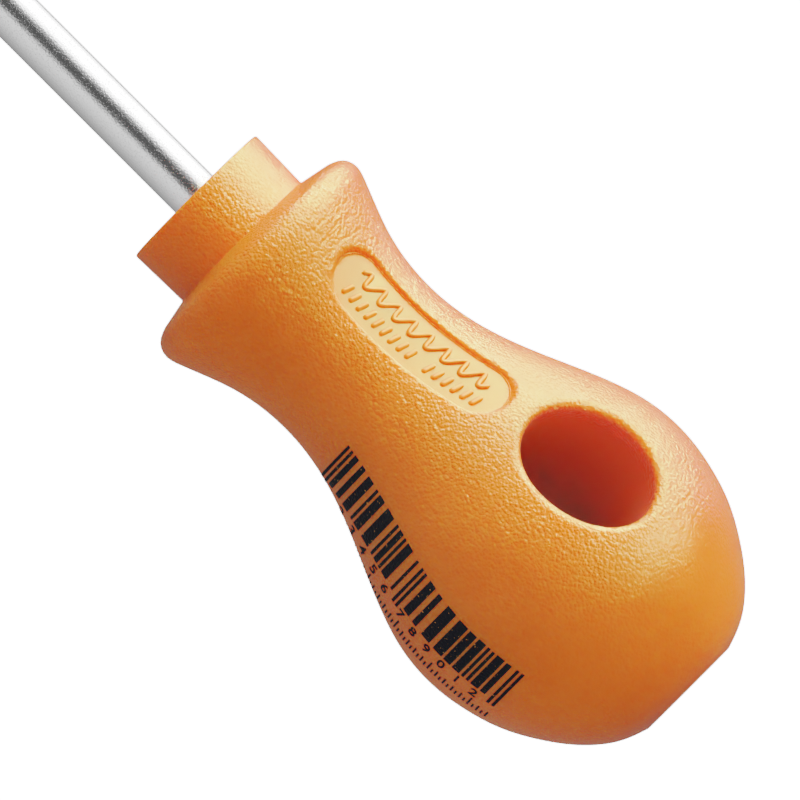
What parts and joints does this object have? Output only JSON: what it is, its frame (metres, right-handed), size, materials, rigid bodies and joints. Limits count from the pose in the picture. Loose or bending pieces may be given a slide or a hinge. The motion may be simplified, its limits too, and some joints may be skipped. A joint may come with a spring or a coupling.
{
  "type": "stubby screwdriver",
  "caption": "Stubby slotted screwdriver with a round steel blade and a bulbous plastic handle crossed by a round bore.",
  "frame": {"origin": "centre of the flat butt face at the bottom of the handle", "axes": "+Z along the tool from the butt to the blade's tip, Y along the cross bore, -Y through the middle of the recessed panel, X along the width of the tip"},
  "size_m": [0.0338, 0.033, 0.1038],
  "materials": {
    "handle_plastic": "satin orange moulded plastic with a fine spark-eroded grain, smooth in the panel and the bore",
    "blade_steel": "satin chrome plate on forged steel",
    "print_ink": "thin black pad-printed ink on the handle"
  },
  "bodies": {
    "root": {"handle": "handle_plastic", "blade": "blade_steel"}
  },
  "joints": []
}
